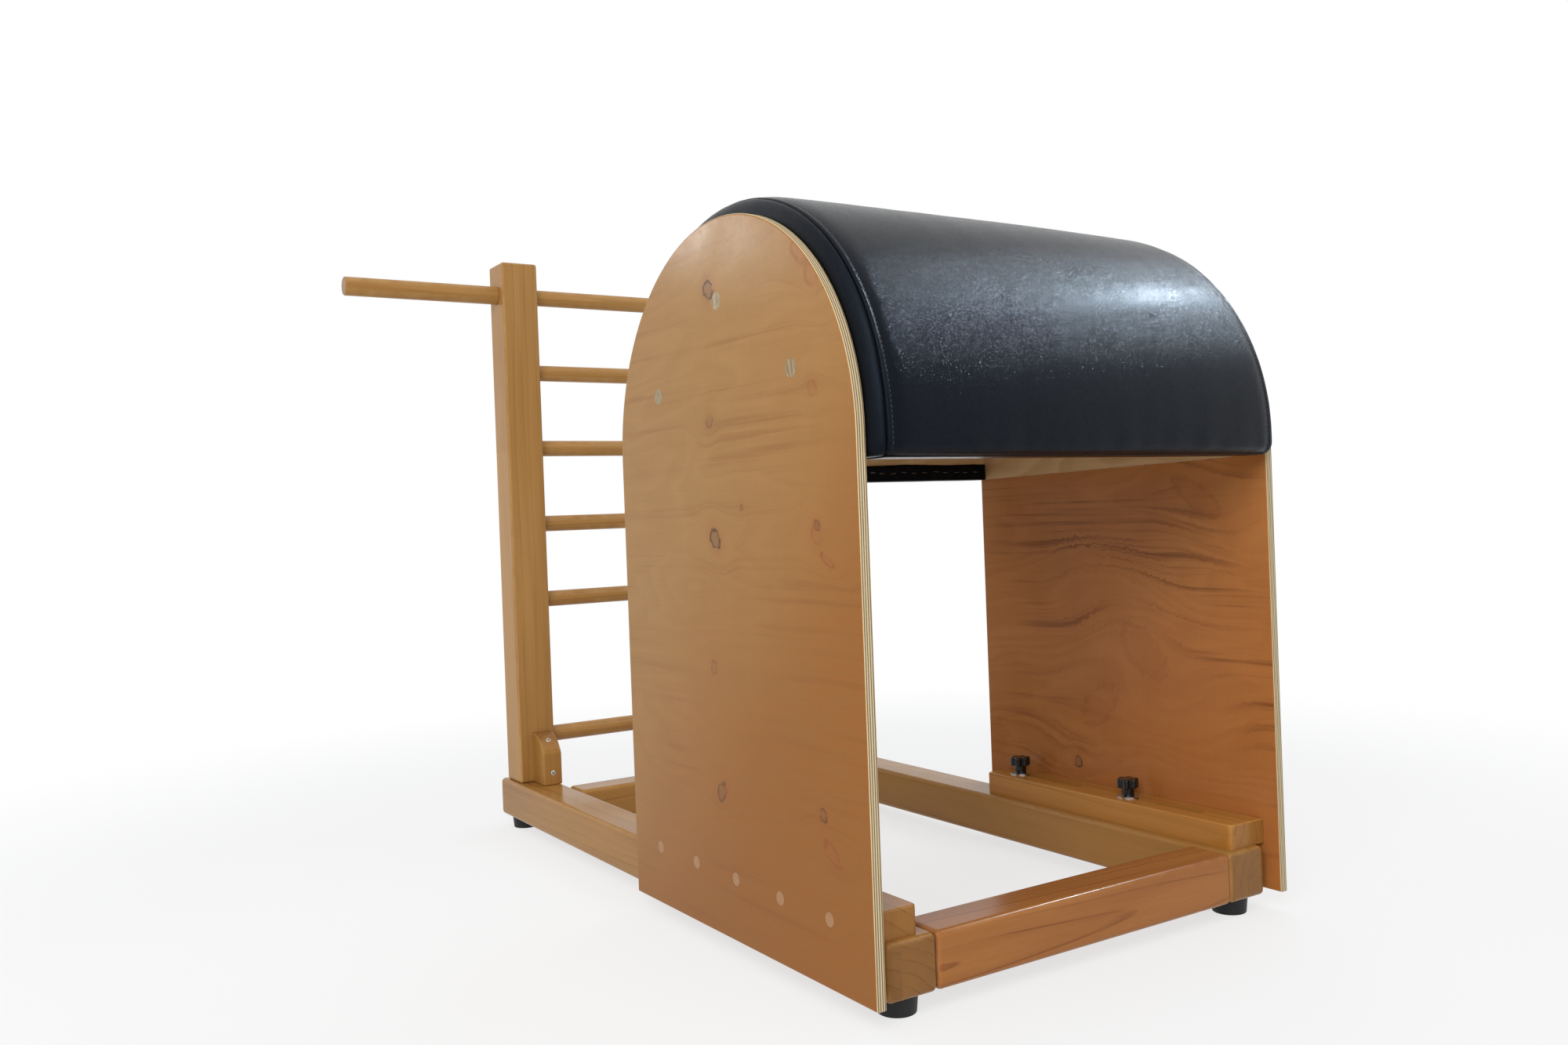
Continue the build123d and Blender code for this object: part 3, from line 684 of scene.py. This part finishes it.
print("materials: finishing the carried-over pieces")
looks = {
    "vinyl": vinylMaterial(),
    "thread": threadMaterial(),
    "knobPlastic": mouldedMaterial("knobPlastic", ink(14, 14, 15), ink(44, 44, 46),
                                   0.22, 700.0, 0.00003, 0.5),
    "footRubber": mouldedMaterial("footRubber", ink(24, 24, 27), ink(58, 57, 58),
                                  0.55, 1100.0, 0.00012, 0.35),
    "zincPlate": platedMaterial("zincPlate", ink(214, 218, 226), ink(150, 154, 164), 0.24, 1500.0),
    "insertBrass": platedMaterial("insertBrass", ink(222, 190, 120), ink(160, 126, 70), 0.32, 1100.0),
    "stapleSteel": platedMaterial("stapleSteel", ink(150, 150, 152), ink(96, 96, 100), 0.38, 1900.0),
}
finishNodes()


# Mesh helpers

def meshPiece(name, vertices, faces, material, smooth=True):
    mesh = bpy.data.meshes.new(name)
    mesh.from_pydata([tuple(v) for v in vertices], [], faces)
    mesh.validate()
    mesh.materials.append(material)
    if smooth:
        mesh.shade_smooth()
    piece = bpy.data.objects.new(name, mesh)
    bpy.context.scene.collection.objects.link(piece)
    return piece


def mendMesh(piece, weld=0.0):
    # joins vertices that are closer than weld, and turns all faces outward
    mend = bmesh.new()
    mend.from_mesh(piece.data)
    if weld:
        bmesh.ops.remove_doubles(mend, verts=mend.verts, dist=weld)
    bmesh.ops.recalc_face_normals(mend, faces=mend.faces)
    mend.to_mesh(piece.data)
    mend.free()


def sweepTube(vertices, faces, path, radii, sides, flatten=1.0, up=Vector((0, 0, 1))):
    # adds a closed tube along a path of points; flatten squeezes it along its second direction
    first = len(vertices)
    for index, point in enumerate(path):
        before, after = path[max(index - 1, 0)], path[min(index + 1, len(path) - 1)]
        ahead = (after - before).normalized()
        side = ahead.cross(up)
        side = side.normalized() if side.length > 1e-6 else Vector((1, 0, 0))
        over = side.cross(ahead).normalized()
        for step in range(sides):
            angle = 2 * math.pi * (step + 0.5) / sides
            vertices.append(point + side * (math.cos(angle) * radii[index])
                            + over * (math.sin(angle) * radii[index] * flatten))
    for ring in range(len(path) - 1):
        for step in range(sides):
            a = first + ring * sides + step
            b = first + ring * sides + (step + 1) % sides
            faces.append((a, b, b + sides, a + sides))
    faces.append(tuple(first + step for step in reversed(range(sides))))
    last = first + (len(path) - 1) * sides
    faces.append(tuple(last + step for step in range(sides)))


# The pad: foam under vinyl, boxed with a border at each end and top-stitched beside the seam
padLook = {
    "step": 0.0095,  # along the arch
    "spacing": 0.0105,  # across it
    "bottomRound": 0.017,
    "edge": [  # from the shell outward: height over the shell, and inset from the end
        (0.0000, 0.0022), (0.0030, 0.0008), (0.0100, 0.0002), (0.0180, 0.0000), (0.0240, 0.0005),
        (0.0292, 0.0018), (0.0338, 0.0040), (0.0374, 0.0066), (0.0398, 0.0089), (0.0410, 0.0108),
        (0.0411, 0.0124), (0.0396, 0.0138), (0.0382, 0.0143), (0.0402, 0.0148), (0.0426, 0.0155),
        (0.0437, 0.0166), (0.0441, 0.0183), (0.0439, 0.0200), (0.0434, 0.0215), (0.0441, 0.0232),
        (0.0450, 0.0262), (0.0463, 0.0320), (0.0472, 0.0400),
    ],
    # how high each unevenness of the vinyl stands, and how far some of them reach
    "swell": 0.0011, "drag": 0.0004, "pucker": 0.0007, "ruck": 0.0016, "cornerRuck": 0.0022,
    "puckerReach": 0.010, "ruckReach": 0.022, "cornerReach": 0.03,
    "fill": 0.9,
}
seamInset = 0.0143  # of the seam's valley, from the end
stitchInset = 0.0215  # of the row of stitches; both are places in the edge above


def waver(x, y, z):
    return noise.noise(Vector((x, y, z)))


def archFrame(t):
    # centre and outward direction at a distance t along the arch, from its front foot
    drop = archHeight - frontFoot
    arc = math.pi * padOuter
    if t < drop:
        return Vector((archX, 0, frontFoot + t)), Vector((1, 0, 0))
    if t > drop + arc:
        return Vector((archX, 0, archHeight - (t - drop - arc))), Vector((-1, 0, 0))
    angle = (t - drop) / padOuter
    return Vector((archX, 0, archHeight)), Vector((math.cos(angle), 0, math.sin(angle)))


def padProfile():
    # the outer side of the pad's section, from the near end to the far end: height, Y
    edge = [(height, -padEnd + inset) for height, inset in padLook["edge"]]
    lastHeight, lastY = edge[-1]
    top = padOuter - padInner
    count = round(-2 * lastY / padLook["spacing"])
    middle = []
    for step in range(1, count):
        y = lastY - 2 * lastY * step / count
        middle.append((lastHeight + (top - lastHeight) * (1 - (y / lastY) ** 2) ** 0.8, y))
    return edge + middle + [(height, -y) for height, y in reversed(edge)]


def padPoint(t, height, y):
    # a point of the pad's surface, with the swell, puckers and rucks of its vinyl
    centre, out = archFrame(t)
    top = padOuter - padInner
    fromFoot = min(t, archLength - t)
    fromEnd = padEnd - abs(y)
    radius = padLook["bottomRound"]
    drawnIn = 0.0
    if fromFoot < radius:
        drawnIn = radius - math.sqrt(radius ** 2 - (radius - fromFoot) ** 2)
    share = height / top
    side = 1 if y > 0 else -1
    lift = share * padLook["swell"] * waver(t * 4.2, y * 3.6, 1.7)
    lift += share * padLook["drag"] * waver(t * 2.5, y * 26.0, 5.1)
    lift += (share * padLook["ruck"] * waver(y * 38.0, t * 5.0, 9.3)
             * math.exp(-fromFoot / padLook["ruckReach"]))
    nearSeam = math.exp(-abs(fromEnd - seamInset) / padLook["puckerReach"])
    lift += share * padLook["pucker"] * nearSeam * waver(t * 62.0, side * 4.0, 2.2)
    sink = padLook["pucker"] * share * (1 - share) * 4 * waver(t * 24.0, side * 7.0, 6.4)
    atCorner = math.exp(-fromFoot / padLook["cornerReach"]) * math.exp(-fromEnd / padLook["cornerReach"])
    lift -= padLook["cornerRuck"] * share * atCorner * (0.5 + 0.5 * math.sin(fromEnd * 520 + 1.0))
    drawn = height * (1 - drawnIn / top) + lift
    inset = drawnIn * 0.35 * share + abs(sink) * (1 if fromEnd < seamInset else 0)
    return centre + out * (padInner + max(drawn, 0.0)) + Vector((0, y - side * inset, 0))


def padStations():
    rounded = padLook["bottomRound"]
    starts = [rounded * share for share in (0.0, 0.04, 0.14, 0.30, 0.52, 0.76)]
    count = round((archLength - 2 * rounded) / padLook["step"])
    middle = [rounded + (archLength - 2 * rounded) * step / count for step in range(count + 1)]
    return starts + middle + [archLength - start for start in reversed(starts)]


def makePad():
    profile = padProfile()
    stations = padStations()
    width = len(profile)
    vertices, faces = [], []
    for t in stations:
        centre, out = archFrame(t)
        vertices += [padPoint(t, height, y) for height, y in profile]
        vertices += [centre + out * padInner + Vector((0, y, 0)) for height, y in profile]
    row = 2 * width
    for index in range(len(stations) - 1):
        here, there = index * row, (index + 1) * row
        for k in range(width - 1):
            faces.append((here + k, here + k + 1, there + k + 1, there + k))
            faces.append((here + width + k + 1, here + width + k, there + width + k, there + width + k + 1))
        faces.append((here + width, here, there, there + width))
        faces.append((here + width - 1, here + row - 1, there + row - 1, there + width - 1))
    last = (len(stations) - 1) * row
    for k in range(width - 1):
        faces.append((k + 1, k, width + k, width + k + 1))
        faces.append((last + k, last + k + 1, last + width + k + 1, last + width + k))
    pad = meshPiece("padCover", vertices, faces, looks["vinyl"])
    mendMesh(pad, 0.00002)
    pad.data.shade_smooth()
    smoother = pad.modifiers.new("smoother", "SUBSURF")
    smoother.levels = smoother.render_levels = 1
    return pad


stitchLook = {"pitch": 0.0062, "length": 0.0046, "radius": 0.00042, "proud": 0.0003, "ends": 0.012}


def makeStitches():
    # a row of top stitches beside each seam
    rows = [point for point in padProfile() if abs(abs(point[1]) - (padEnd - stitchInset)) < 1e-6]
    vertices, faces = [], []
    for height, y in rows:
        count = int((archLength - 2 * stitchLook["ends"]) / stitchLook["pitch"])
        for number in range(count):
            middle = stitchLook["ends"] + (number + 0.5) * stitchLook["pitch"]
            path = []
            for share, rise in ((-0.5, -0.0007), (-0.36, 0.0), (0.0, 1.0), (0.36, 0.0), (0.5, -0.0007)):
                t = middle + share * stitchLook["length"]
                point = padPoint(t, height, y)
                out = archFrame(t)[1]
                path.append(point + out * (rise if rise < 0 else stitchLook["proud"] * (0.4 + 0.6 * rise)))
            radii = [stitchLook["radius"] * share for share in (0.55, 0.95, 1.05, 0.95, 0.55)]
            sweepTube(vertices, faces, path, radii, 6, up=Vector((0, 1, 0)))
    return meshPiece("padStitches", vertices, faces, looks["thread"])


# The cover's edge, drawn under the foot of the pad and stapled up inside the shell
turnLook = {
    "thickness": 0.0011, "rise": 0.0292, "ragged": 0.0018, "step": 0.004, "ripple": 0.0007, "reach": 0.3275,
}
stapleLook = {
    "pitch": 0.0235, "fromEnd": 0.012, "crown": 0.0112, "width": 0.0009, "thickness": 0.0005, "leg": 0.003,
    "height": 0.0145, "jitter": (0.0025, 0.0012, 0.16),  # along the row, in height, and in tilt
}


def staplePlaces(seed):
    rng = random.Random(seed)
    half = edgeHigh.y - stapleLook["fromEnd"]
    count = int(2 * half / stapleLook["pitch"])
    shift, lift, tilt = stapleLook["jitter"]
    return [(-half + 2 * half * (k + 0.5) / count + rng.uniform(-shift, shift),
             stapleLook["height"] + rng.uniform(-lift, lift), rng.uniform(-tilt, tilt)) for k in range(count)]


def makeCoverTurn(name, side, seed):
    # side is 1 at the front foot and -1 at the rear one
    half = edgeHigh.y - padGap
    staples = [place[0] for place in staplePlaces(seed)]
    count = round(2 * half / turnLook["step"])
    thickness = turnLook["thickness"]
    skin = shellInner - thickness / 2 - 0.0001
    foot = frontFoot if side > 0 else rearFoot
    sheet = []
    for step in range(count + 1):
        y = -half + 2 * half * step / count
        nearest = min(abs(y - place) for place in staples)
        puff = turnLook["ripple"] * min(nearest / 0.010, 1.0) * (0.6 + 0.4 * waver(y * 30, seed, 0))
        top = turnLook["rise"] - 0.0006 + turnLook["ragged"] * (
            waver(y * 9, seed, 2.0) - 0.5 + 0.4 * waver(y * 55, seed, 4.0))
        sag = 0.0004 * waver(y * 18, seed, 8.0)
        outline = [
            (turnLook["reach"], 0.0002), (turnLook["reach"] - 0.012, -0.0005 + sag),
            (shellInner + 0.02, -0.0006 + sag), (shellInner + 0.006, -0.0006 + sag),
            (shellInner + 0.0015, -0.0005), (skin, 0.0003), (skin, 0.0025),
            (skin - puff * 0.3, 0.006), (skin - puff * 0.2, 0.0105), (skin - puff * 0.2, 0.0135),
            (skin - puff * 0.7, 0.018), (skin - puff, 0.022), (skin - puff * 1.1, top),
        ]
        sheet.append([Vector((archX + side * r, y, foot + z)) for r, z in outline])
    vertices, faces = [], []
    rows, columns = len(sheet), len(sheet[0])
    for layer in (0, 1):
        for line in sheet:
            for k, point in enumerate(line):
                along = (line[min(k + 1, columns - 1)] - line[max(k - 1, 0)]).normalized()
                across = along.cross(Vector((0, 1, 0))).normalized() * side
                vertices.append(point + across * (thickness / 2 if layer else -thickness / 2))
    size = rows * columns
    for i in range(rows - 1):
        for k in range(columns - 1):
            a = i * columns + k
            faces.append((a, a + 1, a + columns + 1, a + columns))
            faces.append((size + a + 1, size + a, size + a + columns, size + a + columns + 1))
    for i in range(rows - 1):
        for k in (0, columns - 1):
            a = i * columns + k
            faces.append((a, a + columns, size + a + columns, size + a))
    for k in range(columns - 1):
        for i in (0, rows - 1):
            a = i * columns + k
            faces.append((a, a + 1, size + a + 1, size + a))
    turn = meshPiece(name, vertices, faces, looks["vinyl"])
    mendMesh(turn)
    return turn


def makeStaples(name, side, seed):
    vertices, faces = [], []
    crown, leg = stapleLook["crown"] / 2, stapleLook["leg"]
    face = shellInner - turnLook["thickness"] - 0.0001
    foot = frontFoot if side > 0 else rearFoot
    for y, height, tilt in staplePlaces(seed):
        path = []
        for along, depth in ((-crown, leg), (-crown, 0.0006), (-crown * 0.93, 0.0001), (-crown * 0.8, 0.0),
                             (0.0, -0.0001), (crown * 0.8, 0.0), (crown * 0.93, 0.0001), (crown, 0.0006),
                             (crown, leg)):
            path.append(Vector((archX + side * (face + depth - 0.0002), y + along * math.cos(tilt),
                                foot + height + along * math.sin(tilt))))
        sweepTube(vertices, faces, path, [stapleLook["width"] / math.sqrt(2)] * len(path), 4,
                  flatten=stapleLook["thickness"] / stapleLook["width"], up=Vector((side, 0, 0)))
    return meshPiece(name, vertices, faces, looks["stapleSteel"], smooth=False)


# Cross-head screws of the post blocks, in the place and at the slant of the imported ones
screwLook = {
    "head": 0.0046, "bevel": 0.0003, "rim": 0.0006, "cone": 0.0030, "shank": 0.0022, "length": 0.008,
    "sides": 32, "arm": 0.0025, "slot": 0.00055, "depth": 0.0014, "taper": 0.72,
    "shoulderLift": 0.0012,  # the rounded shoulder would cover the upper head
}


def looseParts(node):
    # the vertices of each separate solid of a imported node
    build = bmesh.new()
    build.from_mesh(node.data)
    bmesh.ops.remove_doubles(build, verts=build.verts, dist=0.000005)
    left, parts = set(build.verts), []
    while left:
        stack, part = [left.pop()], []
        while stack:
            vertex = stack.pop()
            part.append(vertex.co.copy())
            for edge in vertex.link_edges:
                other = edge.other_vert(vertex)
                if other in left:
                    left.remove(other)
                    stack.append(other)
        parts.append(part)
    build.free()
    return sorted(parts, key=lambda part: tuple(round(value, 4) for value in partMiddle(part)))


def partMiddle(points):
    return sum(points, Vector()) / len(points)


def screwAxis(points):
    # the middle of a screw's head and the direction in which its head faces
    middle = partMiddle(points)
    tip = max(points, key=lambda point: (point - middle).length)
    facing = (middle - tip).normalized()
    reach = max((point - tip).dot(facing) for point in points)
    return tip + facing * reach, facing


def crossHead(vertices, faces, seat, facing):
    # a countersunk head with a cross recess, and the first stretch of its shank
    sides, arm, slot = screwLook["sides"], screwLook["arm"], screwLook["slot"]
    head, shank = screwLook["head"], screwLook["shank"]
    turn = facing.to_track_quat("Z", "Y").to_matrix()
    build = bmesh.new()
    rings = ((head - screwLook["bevel"], 0.0), (head, -0.0002), (head, -screwLook["rim"]),
             (shank, -screwLook["cone"]), (shank, -screwLook["length"]))
    angles = [2 * math.pi * k / sides for k in range(sides)]
    loops = [[build.verts.new((radius * math.cos(angle), radius * math.sin(angle), z)) for angle in angles]
             for radius, z in rings]
    for upper, lower in zip(loops, loops[1:]):
        for k in range(sides):
            build.faces.new((upper[k], lower[k], lower[(k + 1) % sides], upper[(k + 1) % sides]))
    build.faces.new(loops[-1][::-1])
    recess = [(c * x - s * y, s * x + c * y) for c, s in ((1, 0), (0, 1), (-1, 0), (0, -1))
              for x, y in ((arm, slot), (slot, slot), (slot, arm))]
    rim = [build.verts.new((x, y, 0.0)) for x, y in recess]
    taper, depth = screwLook["taper"], screwLook["depth"]
    floor = [build.verts.new((x * taper, y * taper, -depth)) for x, y in recess]
    rimEdges = [build.edges.new((rim[k], rim[(k + 1) % 12])) for k in range(12)]
    outer = [build.edges.get((loops[0][k], loops[0][(k + 1) % sides])) for k in range(sides)]
    bmesh.ops.triangle_fill(build, edges=rimEdges + outer, use_beauty=True, use_dissolve=False)
    for k in range(12):
        build.faces.new((rim[k], rim[(k + 1) % 12], floor[(k + 1) % 12], floor[k]))
    build.faces.new(floor[::-1])
    centreFaces = [face for face in build.faces if all(v in rim for v in face.verts)]
    bmesh.ops.delete(build, geom=centreFaces, context="FACES_ONLY")
    bmesh.ops.recalc_face_normals(build, faces=build.faces)
    build.verts.index_update()
    first = len(vertices)
    vertices += [seat + turn @ v.co for v in build.verts]
    faces += [tuple(first + v.index for v in face.verts) for face in build.faces]
    build.free()


def makeBlockScrews():
    vertices, faces = [], []
    for part in looseParts(nodes["block_screws"]):
        seat, facing = screwAxis(part)
        if facing.z > 0.1:
            seat += facing * screwLook["shoulderLift"]
        crossHead(vertices, faces, seat, facing)
    return meshPiece("blockScrewHeads", vertices, faces, looks["zincPlate"], smooth=False)


print("pad: vinyl cover, seams and stitches")
pad = makePad()
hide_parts("barrel_pad")
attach(pad, "barrel")
stitches = makeStitches()
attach(stitches, "barrel")

print("cover: turned edges and staples")
for end, side, seed in (("front", 1, 3), ("rear", -1, 8)):
    turn = makeCoverTurn(f"coverTurn{end.capitalize()}", side, seed)
    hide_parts(f"cover_edge_{end}")
    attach(turn, "barrel")
    staples = makeStaples(f"coverStaples{end.capitalize()}", side, seed)
    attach(staples, "barrel")

print("screws: cross heads on the post blocks")
blockScrews = makeBlockScrews()
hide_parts("block_screws")
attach(blockScrews, "base")


# Studio: a white floor and background, soft lamps, and the photograph's camera
studioLook = {
    "floorSize": 14.0, "floorColour": 0.86, "fadeFrom": 1.1, "fadeTo": 2.4, "fadeLow": 0.70,
    "fill": (0.93, 0.96, 1.0, 1.0), "fillStrength": 0.62,
}
lampLook = {
    # the point it aims at, direction from there, distance, size, watts, colour, whether it lights and glints
    "farWindow": ((0.615, 0.204, 0.907), (0.071, 0.753, 0.654), 3.2, (0.46, 0.16), 84.0, (0.78, 0.90, 1.0),
                  False, True),
    "farSky": ((0.59, 0.10, 0.93), (0.24, 0.74, 0.62), 3.3, (3.0, 1.0), 7.0, (0.28, 0.56, 1.0), False, True),
    "farSoft": ((0.23, 0.0, 0.6), (-0.15, 0.62, 0.80), 3.4, (2.2, 1.6), 24.0, (0.95, 0.98, 1.0), True, False),
    "leftWindow": ((0.297, -0.380, 1.020), (-0.850, -0.477, 0.224), 3.2, (0.20, 0.20), 4.0,
                   (0.95, 0.98, 1.0), True, True),
    "leftSky": ((0.23, 0.0, 0.6), (-0.92, -0.38, 0.12), 3.2, (1.1, 1.5), 0.9, (1.0, 0.95, 0.84), False, True),
    "frontSoft": ((0.23, 0.0, 0.6), (0.55, -0.62, 0.46), 3.6, (2.2, 2.2), 66.0, (1.0, 0.97, 0.93),
                  True, True),
}
photoView = {
    "place": (1.849, -1.250, 0.611),
    "heading": 147.44, "tilt": -0.23, "roll": -2.13,  # degrees; the heading is from +X
    "lens": 29.21,  # millimetres, on a sensor 36 wide
}


def backgroundRays():
    # 1 where the camera sees it, straight or in a reflection or through glass
    path = addNode("ShaderNodeLightPath").outputs
    seen = larger(path["Is Camera Ray"], path["Is Glossy Ray"])
    return larger(seen, path["Is Transmission Ray"])


def mixToWhite(outputKind, whiteKind, amount, first):
    # ends a tree with that amount of plain white over the first shader
    white = addNode(whiteKind)
    white.inputs[0].default_value = (1.0, 1.0, 1.0, 1.0)
    mixed = feedAll(addNode("ShaderNodeMixShader"), amount, first.outputs[0], white.outputs[0])
    feed(addNode(outputKind).inputs[0], mixed[0])


def makeWorld():
    world = bpy.data.worlds.new("whiteStudio")
    openTree(world)
    fill = addNode("ShaderNodeBackground")
    feedAll(fill, studioLook["fill"], studioLook["fillStrength"])
    mixToWhite("ShaderNodeOutputWorld", "ShaderNodeBackground", backgroundRays(), fill)
    bpy.context.scene.world = world


def makeFloor():
    # the floor keeps the shadow near the object and fades to plain white further out
    material = bpy.data.materials.new("studioFloor")
    openTree(material)
    place = addNode("ShaderNodeTexCoord").outputs["Object"]
    grey = studioLook["floorColour"]
    cloud = remap(noiseAt(place, 3.0), grey - 0.01, grey + 0.01)
    matt = addNode("ShaderNodeBsdfDiffuse")
    feed(matt.inputs[0], putTogether(cloud, cloud, cloud))
    distance = vectorMaths("LENGTH", place)
    fade = smoothStep(distance, studioLook["fadeFrom"], studioLook["fadeTo"])
    fade = remap(fade, studioLook["fadeLow"], 1.0)
    mixToWhite("ShaderNodeOutputMaterial", "ShaderNodeEmission", times(fade, backgroundRays()), matt)
    half = studioLook["floorSize"] / 2
    corners = [(-half, -half, 0), (half, -half, 0), (half, half, 0), (-half, half, 0)]
    meshPiece("studioFloor", corners, [(0, 1, 2, 3)], material, smooth=False)


def makeLamps():
    for name, (aim, direction, distance, size, watts, colour, lights, glints) in lampLook.items():
        lamp = bpy.data.lights.new(name, "AREA")
        lamp.shape = "RECTANGLE"
        lamp.size, lamp.size_y = size
        lamp.energy = watts
        lamp.color = colour
        holder = bpy.data.objects.new(name, lamp)
        away = Vector(direction).normalized()
        holder.location = Vector(aim) + away * distance
        holder.rotation_euler = away.to_track_quat("Z", "Y").to_euler()
        holder.visible_diffuse = lights
        holder.visible_glossy = glints
        bpy.context.scene.collection.objects.link(holder)


def makeCamera():
    heading, tilt, roll = (math.radians(photoView[key]) for key in ("heading", "tilt", "roll"))
    ahead = Vector((math.cos(heading) * math.cos(tilt), math.sin(heading) * math.cos(tilt), math.sin(tilt)))
    lens = bpy.data.cameras.new("photoCamera")
    lens.lens = photoView["lens"]
    lens.sensor_width = 36.0
    camera = bpy.data.objects.new("photoCamera", lens)
    turn = ahead.to_track_quat("-Z", "Y").to_matrix().to_4x4() @ Matrix.Rotation(roll, 4, "Z")
    camera.matrix_world = Matrix.Translation(photoView["place"]) @ turn
    bpy.context.scene.collection.objects.link(camera)
    bpy.context.scene.camera = camera


print("studio: floor, lamps and camera")
makeWorld()
makeFloor()
makeLamps()
makeCamera()
bpy.context.scene.view_settings.view_transform = "Standard"
